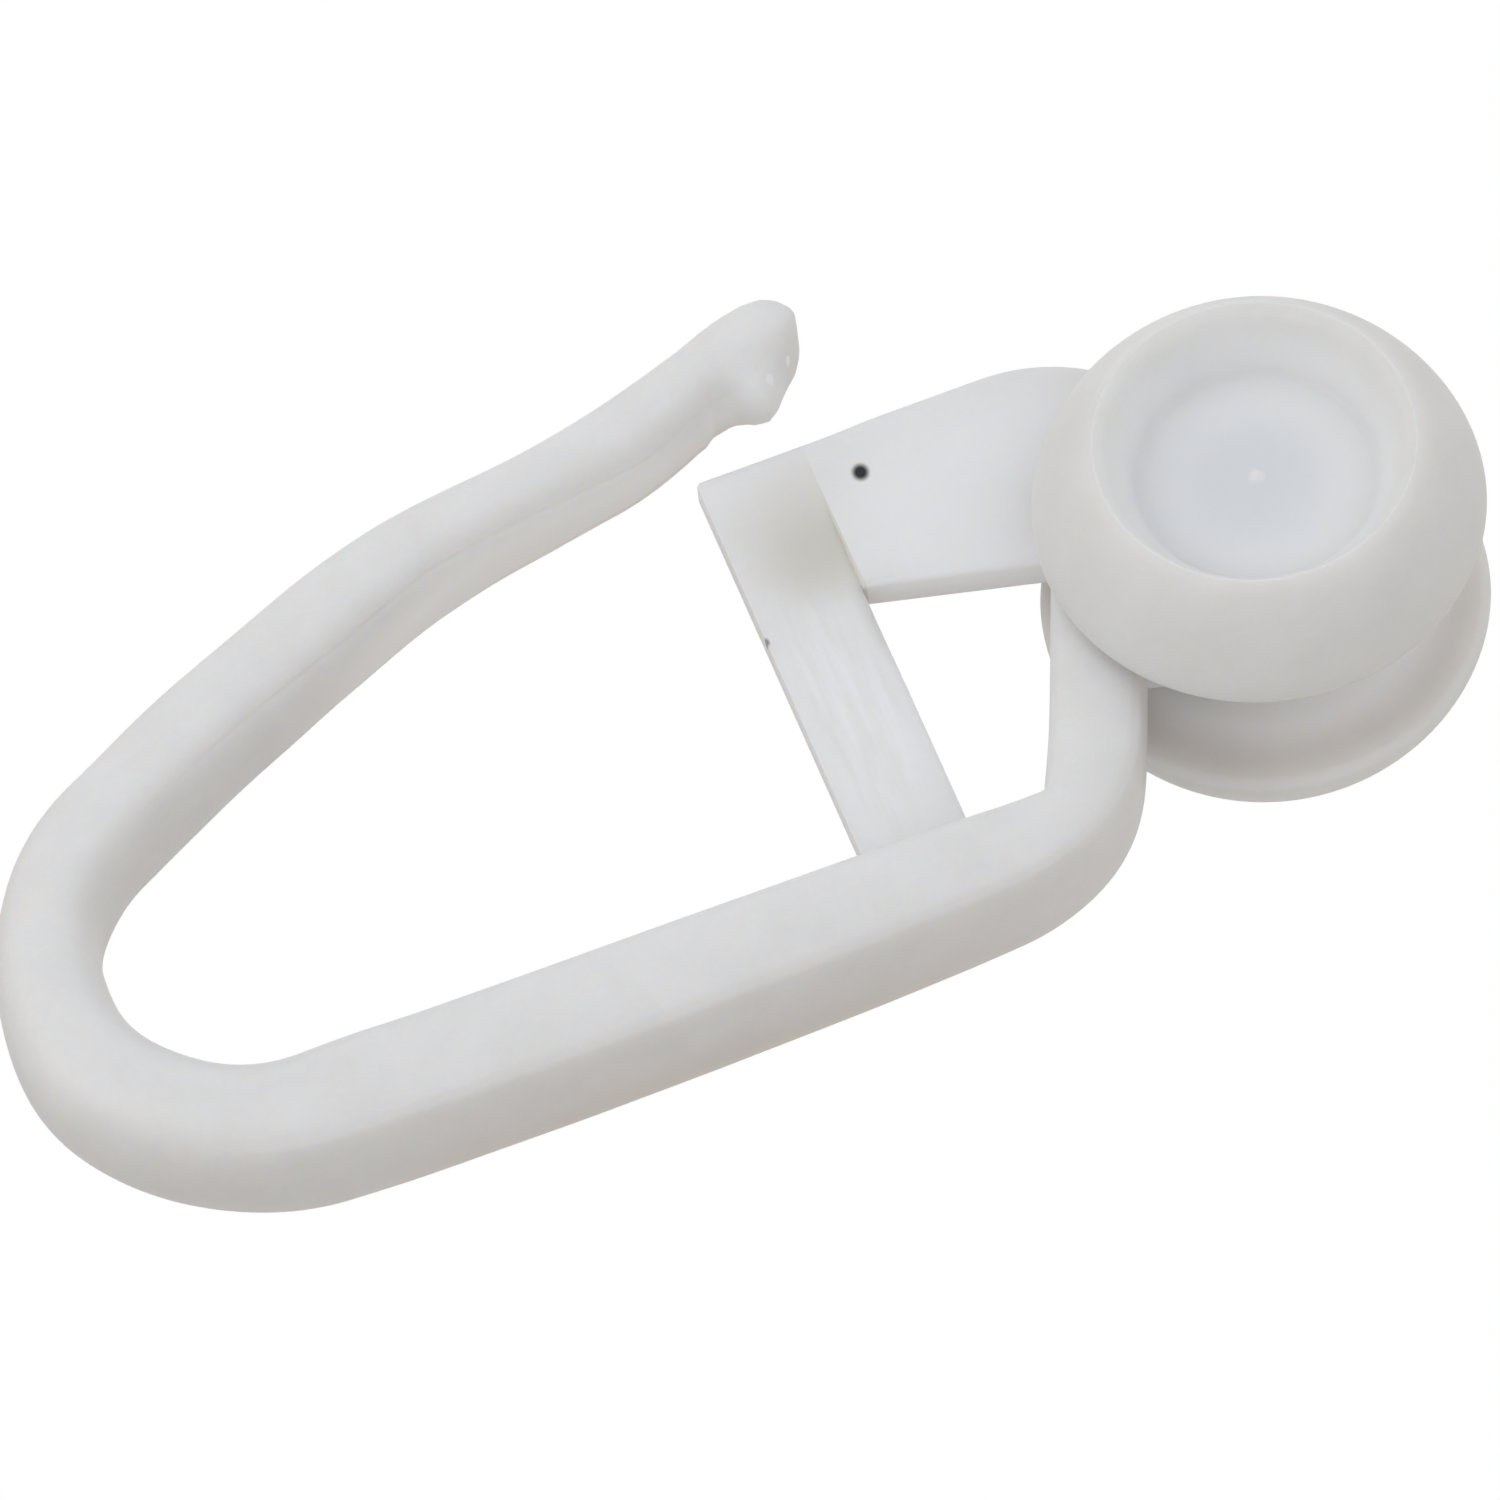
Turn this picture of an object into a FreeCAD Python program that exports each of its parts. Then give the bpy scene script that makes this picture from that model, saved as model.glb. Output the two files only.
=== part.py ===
import FreeCAD, Part
import math
import os

# Curtain glider: a moulded pleat hook that hangs from two small rollers in a curtain track.
# Sizes are in millimetres and angles in degrees.
# The origin is on the rollers' common axis, midway between the two rollers.
# X runs along the track, Y along the axis with the front roller at -Y, and Z is up.

# Rollers
roller_diameter = 10.2
roller_width = 3.0
rim_round = 0.1
lip_outer_diameter = 7.8
lip_width = 0.7
lip_bead = 0.14
dish_slope_width = 1.0
dish_depth = 1.6
gate_nub_diameter = 0.5
gate_nub_height = 0.16
hub_wall = 0.78

# Stub axles and the snap beads that keep the rollers on
axle_diameter = 2.6
running_clearance = 0.07
axial_play = 0.2
bore_skin = 0.5
snap_bead = 0.15
snap_width = 0.5
snap_setback = 0.25

# Web: the flat plate that carries the axles, and the strip that braces it to the arm
web_thickness = 0.9
web_reach = 6.4
web_drop = 11.2
web_corner_round = 0.3
web_shoulder_radius = 4.2
web_shoulder_drop = 4.3
web_eye_margin = 1.7
strip_thickness = 0.7
strip_width = 2.5
eyelet_foot = 2.4
eyelet_head = 1.25
eyelet_head_drop = 4.4
eyelet_round = 0.35

# Arm: the straight leg, the stem that leads it under the rollers, and the round bend below
arm_thickness = 3.3
arm_width = 2.3
arm_offset = 5.68
arm_edge_round = 0.35
stem_rise_angle = 22.0
stem_hub_clearance = 0.26
stem_side_clearance = 0.15
stem_end = -1.6
stem_bend_radius = 3.3
bend_radius = 4.65
bend_centre_drop = 24.45
bend_sweep = 154.5

# Prong: the free leg, which thins towards a blunt tip with a small barb
prong_shank = (-5.2, -22.6)
prong_shank_width = 1.8
prong_knee = (-6.85, -18.5)
prong_knee_width = 1.65
prong_waist = (-7.65, -14.4)
prong_waist_width = 1.5
prong_neck = (-8.78, -10.4)
prong_neck_width = 1.45
prong_neck_thickness = 2.6
barb_centre = (-9.12, -9.2)
barb_width = 1.7
tip_centre = (-9.66, -7.6)
tip_width = 0.9
tip_thickness = 1.7
tip_edge_round = 0.4

# Values worked out from the sizes above
web_half = web_thickness / 2
web_eye_radius = axle_diameter / 2 + web_eye_margin
inner_face = arm_thickness / 2 + stem_side_clearance
lip_outer_radius = lip_outer_diameter / 2
lip_crest_radius = lip_outer_radius - lip_width / 2
dish_mouth_radius = lip_outer_radius - lip_width
dish_floor_radius = dish_mouth_radius - dish_slope_width
lip_base = inner_face + roller_width - lip_bead
dish_floor = inner_face + roller_width - dish_depth
hub_face = web_half + axial_play
bore_end = dish_floor - bore_skin
axle_end = bore_end - axial_play
bore_radius = axle_diameter / 2 + running_clearance
groove_radius = bore_radius + snap_bead
hub_radius = groove_radius + hub_wall
stem_distance = hub_radius + stem_hub_clearance + arm_width / 2
snap_outer = axle_end - snap_setback
snap_inner = snap_outer - snap_width
FRONT = -1
REAR = 1


def flat(x, z, y=0.0):
    """A point of the hook's plane, shifted along the axis by y."""
    return FreeCAD.Vector(x, y, z)


def line(start, end):
    return Part.LineSegment(start, end).toShape()


def arc(start, middle, end):
    return Part.Arc(start, middle, end).toShape()


def on_circle(centre, radius, angle):
    """The point at an angle on a circle in the hook's plane, counted from +X towards +Z."""
    turn = math.radians(angle)
    return centre + flat(radius * math.cos(turn), radius * math.sin(turn))


def circle_arc(centre, radius, first, last):
    angles = (first, (first + last) / 2, last)
    return arc(*[on_circle(centre, radius, angle) for angle in angles])


def rounded_outline(corners):
    """A closed wire through corners (point, radius), each corner rounded by a tangent arc."""
    edges = []
    ends = []
    for index, (here, radius) in enumerate(corners):
        if radius == 0:
            ends.append((here, here))
            continue
        before = corners[index - 1][0] - here
        after = corners[(index + 1) % len(corners)][0] - here
        before.normalize()
        after.normalize()
        half_angle = before.getAngle(after) / 2
        setback = radius / math.tan(half_angle)
        bisector = before + after
        bisector.normalize()
        first = here + before * setback
        last = here + after * setback
        middle = here + bisector * (radius / math.sin(half_angle) - radius)
        ends.append((first, last))
        edges.append(arc(first, middle, last))
    for index, (first, last) in enumerate(ends):
        leaving = ends[index - 1][1]
        if leaving.distanceToPoint(first) > 1e-6:
            edges.append(line(leaving, first))
    return Part.Wire(Part.sortEdges(edges)[0])


def slab(wire, thickness):
    """A wire of the hook's plane made into a plate of even thickness about that plane."""
    face = Part.Face(wire)
    face.translate(FreeCAD.Vector(0, -thickness / 2, 0))
    return face.extrude(FreeCAD.Vector(0, thickness, 0))


def turned(profile, side):
    """A profile of (radius, distance from the mid-plane) edges turned about the axis."""
    wire = Part.Wire(Part.sortEdges(profile)[0])
    solid = Part.Face(wire).revolve(FreeCAD.Vector(0, 0, 0), FreeCAD.Vector(0, 1, 0), 360)
    if side == FRONT:
        solid = solid.mirror(FreeCAD.Vector(0, 0, 0), FreeCAD.Vector(0, 1, 0))
    return Part.Solid(solid) if solid.ShapeType == "Shell" else solid


def ring_point(radius, distance):
    """A point of a turned profile."""
    return FreeCAD.Vector(radius, distance, 0)


def chain(points):
    return [line(first, last) for first, last in zip(points, points[1:])]


def tread_arc(rim_start, lip_outer):
    """The crown of the tread: an arc that leaves the rim along the axis and ends at the lip."""
    inward = rim_start.x - lip_outer.x
    outward = lip_outer.y - rim_start.y
    radius = (inward ** 2 + outward ** 2) / (2 * inward)
    half_turn = math.asin(outward / radius) / 2
    inset = radius * (1 - math.cos(half_turn))
    middle = ring_point(rim_start.x - inset, rim_start.y + radius * math.sin(half_turn))
    return arc(rim_start, middle, lip_outer)


# Rollers: a convex tread, a lip round a dished outer face, and a blind hub on the inner face
def roller(side):
    rim = roller_diameter / 2
    bore = [
        ring_point(0, bore_end),
        ring_point(bore_radius, bore_end),
        ring_point(bore_radius, snap_outer + axial_play / 2),
        ring_point(groove_radius, snap_outer + axial_play / 2),
        ring_point(groove_radius, snap_inner - axial_play / 2),
        ring_point(bore_radius, snap_inner - axial_play / 2),
        ring_point(bore_radius, hub_face),
        ring_point(hub_radius, hub_face),
        ring_point(hub_radius, inner_face),
        ring_point(rim - rim_round, inner_face),
    ]
    corner = rim_round * (1 - math.sqrt(0.5))
    rim_start = ring_point(rim, inner_face + rim_round)
    rim_arc = arc(bore[-1], ring_point(rim - corner, inner_face + corner), rim_start)
    lip_outer = ring_point(lip_outer_radius, lip_base)
    tread = tread_arc(rim_start, lip_outer)
    dish_mouth = ring_point(dish_mouth_radius, lip_base)
    lip = arc(lip_outer, ring_point(lip_crest_radius, lip_base + lip_bead), dish_mouth)
    nub_foot = ring_point(gate_nub_diameter / 2, dish_floor)
    nub_top = ring_point(0, dish_floor + gate_nub_height)
    dish_foot = ring_point(dish_floor_radius, dish_floor)
    dish = chain([dish_mouth, dish_foot, nub_foot, nub_top, bore[0]])
    return turned(chain(bore) + [rim_arc, tread, lip] + dish, side)


# Stub axles: one on each side of the web, each with a snap bead near its end
def stub_axle(side):
    radius = axle_diameter / 2
    bead = radius + snap_bead
    slope = snap_bead
    points = [
        ring_point(0, 0),
        ring_point(radius, 0),
        ring_point(radius, snap_inner),
        ring_point(bead, snap_inner + slope),
        ring_point(bead, snap_outer - slope),
        ring_point(radius, snap_outer),
        ring_point(radius, axle_end),
        ring_point(0, axle_end),
        ring_point(0, 0),
    ]
    return turned(chain(points), side)


# Web: a plate that wraps the axle and runs down beside the eyelet
def web_plate():
    span = math.hypot(web_reach - web_shoulder_radius, web_shoulder_drop)
    lean = math.atan2(web_shoulder_drop, web_reach - web_shoulder_radius)
    normal = lean + math.acos((web_shoulder_radius - web_eye_radius) / span)
    along_x = web_eye_radius / math.cos(normal)
    slope = -math.cos(normal) / math.sin(normal)
    brow = (web_eye_radius / slope + along_x, web_eye_radius)
    shoulder = (-web_reach, (-web_reach - along_x) * slope)
    strip_top = -web_drop + strip_width
    wire = rounded_outline([
        (flat(-web_reach, strip_top), 0),
        (flat(-eyelet_foot, strip_top), 0),
        (flat(-eyelet_head, -eyelet_head_drop), 0),
        (flat(web_eye_radius, stem_height(web_eye_radius)), 0),
        (flat(web_eye_radius, web_eye_radius), web_eye_radius),
        (flat(*brow), web_eye_radius),
        (flat(*shoulder), web_shoulder_radius),
    ])
    return slab(wire, web_thickness)


# Strip: the thinner bar that joins the foot of the web to the arm
def brace_strip():
    strip_top = -web_drop + strip_width
    eyelet_corner = -eyelet_foot + eyelet_round
    wire = rounded_outline([
        (flat(-web_reach, -web_drop), web_corner_round),
        (flat(arm_offset, -web_drop), 0),
        (flat(arm_offset, strip_top), 0),
        (flat(eyelet_corner, strip_top), 0),
        (flat(-eyelet_foot, strip_top + eyelet_round), 0),
        (flat(-web_reach, strip_top + eyelet_round), 0),
    ])
    return slab(wire, strip_thickness)


def stem_height(x):
    """The height of the stem's centre line at x."""
    rise = math.radians(stem_rise_angle)
    return -(stem_distance + x * math.sin(rise)) / math.cos(rise)


def bar_section(place, heading, width, thickness, edge_round):
    """A rounded rectangle across a bar that runs along heading through place."""
    across = flat(-heading.z, heading.x) * (width / 2)
    through = FreeCAD.Vector(0, thickness / 2, 0)
    corners = [across + through, through - across, (across + through) * -1, across - through]
    return rounded_outline([(place + corner, edge_round) for corner in corners])


# Arm: stem, straight leg and round bend, as one bar with a sharp corner inside the eyelet
def arm_bar():
    rise = math.radians(stem_rise_angle)
    turn = 90 - stem_rise_angle
    tail = flat(stem_end, stem_height(stem_end))
    setback = stem_bend_radius * math.tan(math.radians(turn) / 2)
    pivot = flat(arm_offset - stem_bend_radius, stem_height(arm_offset) - setback)
    leg_top = on_circle(pivot, stem_bend_radius, 0)
    leg_foot = flat(arm_offset, -bend_centre_drop)
    path = Part.Wire([
        line(tail, on_circle(pivot, stem_bend_radius, turn)),
        circle_arc(pivot, stem_bend_radius, turn, 0),
        line(leg_top, leg_foot),
        circle_arc(bend_centre(), bend_radius, 0, -bend_sweep),
    ])
    heading = flat(math.cos(rise), -math.sin(rise))
    start = bar_section(tail, heading, arm_width, arm_thickness, arm_edge_round)
    bar = path.makePipeShell([start], True, True)
    leg_edge = on_circle(pivot, stem_bend_radius - arm_width / 2, 0)
    stem_edge = on_circle(pivot, stem_bend_radius - arm_width / 2, turn)
    corner = flat(leg_edge.x, stem_edge.z + (stem_edge.x - leg_edge.x) * math.tan(rise))
    return bar.cut(slab(Part.makePolygon([leg_edge, corner, stem_edge, leg_edge]), arm_thickness))


def bend_centre():
    return flat(arm_offset - bend_radius, -bend_centre_drop)


# Prong: a loft from the end of the bend, through shank, knee, waist and neck, to the blunt tip
def prong():
    start = on_circle(bend_centre(), bend_radius, -bend_sweep)
    turn = math.radians(bend_sweep)
    start_heading = flat(-math.sin(turn), -math.cos(turn))
    places = [start] + [flat(*place) for place in (prong_shank, prong_knee, prong_waist, prong_neck)]
    widths = [arm_width, prong_shank_width, prong_knee_width, prong_waist_width, prong_neck_width]
    thinning = arm_thickness - prong_neck_thickness
    sections = []
    for index, (place, width) in enumerate(zip(places, widths)):
        ahead = places[index + 1] if index + 1 < len(places) else flat(*tip_centre)
        heading = ahead - places[index - 1] if index else start_heading
        heading.normalize()
        share = (place.z - start.z) / (places[-1].z - start.z)
        thickness = arm_thickness - thinning * share
        sections.append(bar_section(place, heading, width, thickness, arm_edge_round))
    leg = Part.makeLoft(sections, True, False)
    tip_heading = flat(*tip_centre) - flat(*prong_neck)
    tip_heading.normalize()
    barb = bar_section(flat(*barb_centre), tip_heading, barb_width, prong_neck_thickness, arm_edge_round)
    end = bar_section(flat(*tip_centre), tip_heading, tip_width, tip_thickness, tip_edge_round)
    tip = Part.makeLoft([sections[-1], barb, end], True, False)
    return [leg, tip]


def hook_body():
    pieces = prong() + [web_plate(), brace_strip(), stub_axle(FRONT), stub_axle(REAR)]
    body = arm_bar().fuse(pieces).removeSplitter()
    return body.Solids[0]


os.makedirs("parts", exist_ok=True)
nodes = {
    "hook_body": hook_body(),
    "front_roller": roller(FRONT),
    "rear_roller": roller(REAR),
}
for name, shape in nodes.items():
    box = shape.BoundBox
    print(name, shape.ShapeType, "valid", shape.isValid(), "volume %.2f mm3" % shape.Volume)
    print("   x %.2f to %.2f, y %.2f to %.2f, z %.2f to %.2f"
          % (box.XMin, box.XMax, box.YMin, box.YMax, box.ZMin, box.ZMax))
    shape.exportStep("parts/" + name + ".step")
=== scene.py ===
# %% [markdown]
# # A curtain glider in milky plastic
# A glider carries one pleat of a curtain along its track. The real one is three mouldings: a hook with
# a barbed prong, and two small dished rollers pushed over stub axles on its web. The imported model
# brings every piece at its real place and size. This lesson gives the three pieces their moulded form,
# with soft edges, parting lines and sink marks, and then the satin finish of natural white plastic.

# %% Load the fixed frame
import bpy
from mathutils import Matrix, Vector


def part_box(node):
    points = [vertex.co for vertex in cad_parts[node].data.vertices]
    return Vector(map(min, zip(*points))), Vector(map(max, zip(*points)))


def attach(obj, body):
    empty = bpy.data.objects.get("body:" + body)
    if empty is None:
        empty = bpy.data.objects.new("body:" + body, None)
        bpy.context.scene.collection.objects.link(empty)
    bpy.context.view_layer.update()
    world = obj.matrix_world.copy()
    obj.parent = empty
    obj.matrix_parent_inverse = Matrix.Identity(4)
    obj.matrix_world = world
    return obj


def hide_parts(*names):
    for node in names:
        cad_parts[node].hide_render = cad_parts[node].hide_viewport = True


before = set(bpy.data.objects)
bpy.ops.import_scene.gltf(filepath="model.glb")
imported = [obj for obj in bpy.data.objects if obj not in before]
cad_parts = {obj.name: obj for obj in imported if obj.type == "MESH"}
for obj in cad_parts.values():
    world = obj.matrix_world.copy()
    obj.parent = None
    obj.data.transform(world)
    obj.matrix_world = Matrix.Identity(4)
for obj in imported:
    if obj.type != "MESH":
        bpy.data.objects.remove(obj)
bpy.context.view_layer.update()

import math
import bpy
import numpy as np
from mathutils import Matrix, Vector

MM = 0.001

# %% [markdown]
# ## The camera
# The photograph looks down on the glider as it lies on its side. In the frame the glider hangs, so the
# same view is a camera in front of it that is rolled most of a quarter turn. A long lens far away keeps
# the rollers' circles nearly parallel. An aim point, two angles, a roll and a distance say all of this.

# %% Place the camera
camera_aim = Vector((-0.48, 1.42, -12.28)) * MM
camera_distance = 300 * MM
camera_azimuth = math.radians(29.283)
camera_elevation = math.radians(-6.862)
camera_roll = math.radians(69.92)
camera_lens = 320.0


def view_axes(azimuth, elevation, roll):
    """Right, up and forward: forward from azimuth and elevation, then right and up turned by the roll."""
    level = math.cos(elevation)
    forward = Vector((-math.sin(azimuth) * level, math.cos(azimuth) * level, -math.sin(elevation)))
    level_right = Vector((math.cos(azimuth), math.sin(azimuth), 0))
    level_up = level_right.cross(forward)
    right = level_right * math.cos(roll) + level_up * math.sin(roll)
    return right, right.cross(forward), forward


def make_camera():
    """A camera that looks along forward, from its distance before the aim point."""
    right, up, forward = view_axes(camera_azimuth, camera_elevation, camera_roll)
    data = bpy.data.cameras.new("camera")
    data.lens = camera_lens
    data.clip_start = 10 * MM
    data.clip_end = 10
    camera = bpy.data.objects.new("camera", data)
    turn = Matrix((right, up, -forward)).transposed().to_4x4()
    camera.matrix_world = Matrix.Translation(camera_aim - forward * camera_distance) @ turn
    bpy.context.scene.collection.objects.link(camera)
    bpy.context.scene.camera = camera
    return camera


camera = make_camera()
print("camera at", [round(x / MM, 1) for x in camera.location], "mm")

# %% [markdown]
# ## Grids into meshes
# Every surface below is a grid of points: rows along the piece, columns around it. One function turns a
# grid into a closed mesh. It joins neighbouring rows by quads, wraps the columns round, and closes the
# first and last row with a fan of triangles. A closed mesh has a signed volume, and its sign tells
# whether the faces point outwards, so no piece can come out inside out.


# %% Closed mesh from a grid
def signed_volume(points, triangles):
    """A sixth of the sum of the triple products of each triangle's corners."""
    a, b, c = (points[triangles[:, k]] for k in range(3))
    return np.einsum("ij,ij->i", a, np.cross(b, c)).sum() / 6


def closed_grid(grid):
    """Points, quads and fan triangles of a grid of rows x columns x 3 that is closed at both ends."""
    rows, columns = grid.shape[:2]
    points = np.concatenate([grid.reshape(-1, 3), grid[[0, -1]].mean(axis=1)])
    index = np.arange(rows * columns).reshape(rows, columns)
    ahead = np.roll(index, -1, axis=1)
    quads = np.stack([index[:-1], ahead[:-1], ahead[1:], index[1:]], axis=-1).reshape(-1, 4)
    first_pole = np.full(columns, rows * columns)
    fans = [np.stack([first_pole, ahead[0], index[0]], axis=-1)]
    fans.append(np.stack([first_pole + 1, index[-1], ahead[-1]], axis=-1))
    fans = np.concatenate(fans)
    triangles = np.concatenate([quads[:, :3], quads[:, [0, 2, 3]], fans])
    if signed_volume(points, triangles) < 0:
        quads = quads[:, ::-1]
        fans = fans[:, ::-1]
    return points, quads, fans


def mesh_object(name, grid):
    """A linked object whose mesh is the closed grid, with the grid's millimetres made metres."""
    points, quads, fans = closed_grid(grid)
    mesh = bpy.data.meshes.new(name)
    mesh.from_pydata(points * MM, [], quads.tolist() + fans.tolist())
    mesh.polygons.foreach_set("use_smooth", np.ones(len(mesh.polygons), dtype=bool))
    mesh.update()
    piece = bpy.data.objects.new(name, mesh)
    bpy.context.scene.collection.objects.link(piece)
    print(name, len(mesh.vertices), "points", len(mesh.polygons), "faces")
    return piece


# %% [markdown]
# ## Lines to carry a profile along
# The hook's middle line lies in one plane: a short stem under the rollers, a corner, the straight arm,
# the round bend and the gently waved prong. Straight runs and circles are formulas, and the prong is a
# smooth curve through a few points. All of it is then read off again at even steps, so that the rings
# of the mesh are equally far apart.


# %% Runs of the middle line
def straight(start, end, count=60):
    """Points start + t (end - start), with t from 0 to 1."""
    share = np.linspace(0, 1, count)[:, None]
    return np.array(start) + share * (np.array(end) - np.array(start))


def round_run(centre, radius, first, last, count=120):
    """Points centre + radius (cos a, sin a), with the angle a in degrees from first to last."""
    angle = np.radians(np.linspace(first, last, count))
    return np.array(centre) + radius * np.column_stack([np.cos(angle), np.sin(angle)])


def smooth_run(knots, heading, count=60):
    """Cubic Hermite spans through the knots; a knot's slope is half the chord between its neighbours."""
    knots = np.array(knots)
    chords = np.diff(knots, axis=0)
    slopes = np.concatenate([chords[:1], (chords[:-1] + chords[1:]) / 2, chords[-1:]])
    slopes[0] = np.array(heading) * np.linalg.norm(chords[0])
    t = np.linspace(0, 1, count)[None, :, None]
    start, end = knots[:-1, None], knots[1:, None]
    leave, arrive = slopes[:-1, None], slopes[1:, None]
    spans = start * (2 * t**3 - 3 * t**2 + 1) + end * (3 * t**2 - 2 * t**3)
    spans = spans + leave * (t**3 - 2 * t**2 + t) + arrive * (t**3 - t**2)
    return spans.reshape(-1, 2)


def even_steps(points, step):
    """The same line at even steps: lengths are added up chord by chord and both coordinates read off."""
    length = np.concatenate([[0], np.cumsum(np.linalg.norm(np.diff(points, axis=0), axis=1))])
    at = np.linspace(0, length[-1], round(length[-1] / step) + 1)
    return np.column_stack([np.interp(at, length, points[:, k]) for k in (0, 1)])


def run_length(points):
    """The sum of all chords between neighbouring points."""
    return np.linalg.norm(np.diff(points, axis=0), axis=1).sum()


# %% [markdown]
# ## The hook's middle line
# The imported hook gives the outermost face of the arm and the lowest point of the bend, and the line is
# set back from both by half the bar's width. Lengths along the line are kept, because the width and
# thickness of the bar change along it.

# %% Middle line of stem, arm, bend and prong
hook_low, hook_high = (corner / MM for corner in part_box("hook_body"))
arm_half_width = 1.15
arm_x = hook_high.x - arm_half_width
bend_radius = 4.65
bend_sweep = 154.5
bend_centre = (arm_x - bend_radius, hook_low.z + arm_half_width + bend_radius)
stem_slope = 22.0
stem_tail_x = -1.6
stem_distance = 3.71
corner_radius = 3.3
prong_knots = [(-5.2, -22.6), (-6.85, -18.5), (-7.62, -14.7), (-8.72, -10.7), (-9.51, -7.62)]
ring_step = 0.14

slope = math.radians(stem_slope)
corner_turn = 90 - stem_slope


def stem_z(x):
    """Height of the stem's middle line: a straight line at stem_distance from the rollers' axis."""
    return -(stem_distance + x * math.sin(slope)) / math.cos(slope)


corner_setback = corner_radius * math.tan(math.radians(corner_turn) / 2)
corner_centre = (arm_x - corner_radius, stem_z(arm_x) - corner_setback)
corner_run = round_run(corner_centre, corner_radius, corner_turn, 0)
bend_run = round_run(bend_centre, bend_radius, 0, -bend_sweep)
bend_heading = (-math.sin(math.radians(bend_sweep)), -math.cos(math.radians(bend_sweep)))
stem_run = straight((stem_tail_x, stem_z(stem_tail_x)), corner_run[0])
arm_run = straight(corner_run[-1], bend_run[0])
prong_run = smooth_run([bend_run[-1]] + prong_knots, bend_heading)
runs = [stem_run, corner_run, arm_run, bend_run, prong_run]
middle_line = even_steps(np.concatenate(runs), ring_step)
run_ends = np.cumsum([run_length(run) for run in runs])
along = np.linspace(0, run_ends[-1], len(middle_line))
print("middle line %.1f mm in %d rings" % (run_ends[-1], len(middle_line)))

# %% [markdown]
# ## The bar's width along the line
# The bar keeps its size down the arm and thins from the bend to the tip. The tip isn't even-sided: its
# inner side has a notch and a barb that keeps the tape from slipping off. So the outer and the inner
# half-width are two curves, read off at stations along the line. In the eyelet's corner the inner edge
# is sharp: there the inner half-width follows two straight edges, in polar form a cosine's inverse.

# %% Half-widths and half-thickness
# Place along the middle line, outer half-width, inner half-width, half-thickness
bar_stations = np.array([
    (0.0, 1.15, 1.02, 1.66),
    (5.0, 1.15, 1.02, 1.68),
    (7.0, 1.10, 1.09, 1.72),
    (8.6, 0.98, 1.14, 1.76),
    (10.5, 1.11, 1.20, 1.82),
    (13.0, 1.22, 1.22, 1.84),
    (17.0, 1.31, 1.27, 1.84),
    (20.0, 1.33, 1.29, 1.84),
    (23.0, 1.29, 1.33, 1.84),
    (25.2, 1.25, 1.46, 1.84),
    (27.8, 1.20, 1.53, 1.84),
    (29.4, 1.26, 1.49, 1.84),
    (31.4, 1.43, 1.28, 1.84),
    (32.8, 1.29, 1.27, 1.84),
    (33.6, 1.23, 1.23, 1.81),
    (35.0, 1.19, 1.04, 1.79),
    (36.4, 1.27, 1.06, 1.77),
    (38.6, 1.33, 0.96, 1.74),
    (40.3, 1.32, 1.03, 1.71),
    (42.5, 1.16, 1.17, 1.65),
    (45.4, 1.14, 1.15, 1.60),
    (47.2, 1.07, 1.03, 1.56),
    (49.6, 0.96, 0.81, 1.50),
    (51.4, 0.80, 0.94, 1.46),
    (52.9, 0.72, 1.15, 1.43),
    (54.6, 0.77, 0.95, 1.41),
    (55.2, 0.84, 0.76, 1.40),
    (55.7, 0.92, 0.86, 1.40),
    (56.0, 0.98, 1.26, 1.40),
    (56.3, 1.02, 1.42, 1.38),
    (56.6, 1.03, 1.30, 1.37),
    (57.1, 1.02, 0.92, 1.33),
    (57.4, 0.96, 0.68, 1.27),
    (57.65, 0.88, 0.48, 1.19),
    (57.85, 0.70, 0.28, 1.06),
    (57.97, 0.44, 0.08, 0.90),
])
tip_start = 55.0
softening = 11


def soften(values, width):
    """Running mean over width rings, with the ends held."""
    padded = np.pad(values, width // 2, mode="edge")
    return np.convolve(padded, np.ones(width) / width, mode="valid")


def bar_form():
    """Outer and inner half-width and half-thickness at every ring, softened everywhere but at the tip."""
    columns = []
    for column in (1, 2, 3):
        values = np.interp(along, bar_stations[:, 0], bar_stations[:, column])
        columns.append(np.where(along > tip_start, values, soften(values, softening)))
    return columns


def sharp_corner(inner):
    """Inner half-width in the corner: corner_radius - edge_radius / cos(angle from the nearer edge)."""
    turned = np.degrees((along - run_ends[0]) / corner_radius)
    from_edge = np.minimum(turned, corner_turn - turned)
    edge_radius = corner_radius - inner
    narrowed = corner_radius - edge_radius / np.cos(np.radians(np.clip(from_edge, 0, None)))
    return np.where(from_edge > 0, narrowed, inner)


outer_width, inner_width, thickness = bar_form()
inner_width = sharp_corner(inner_width)
print("half-width %.2f to %.2f mm" % (outer_width.max(), outer_width.min()))

# %% [markdown]
# ## The bar's section
# On stem and arm the section is nearly a rectangle with crowned faces, and round the bend its edges melt
# into an oval, which lies softer in the hand and in the tape. Warm plastic shrinks last in the middle, so
# all sides swell a little. The outline is worked out in polar form: for each angle, a few halvings of an
# interval find the radius where a smooth maximum of "face" and "side" reaches one. Sections blend into
# each other along the bar because all of them have the same number of points.


# %% Unit sections
section_bounds = (0.3, 1.6)
halvings = 40
edge_crowding = 1.5


def ramp(values, first, last):
    """Smooth step: 0 before first, 1 after last, and 3 t^2 - 2 t^3 between them."""
    t = np.clip((values - first) / (last - first), 0, 1)
    return t**2 * (3 - 2 * t)


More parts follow.
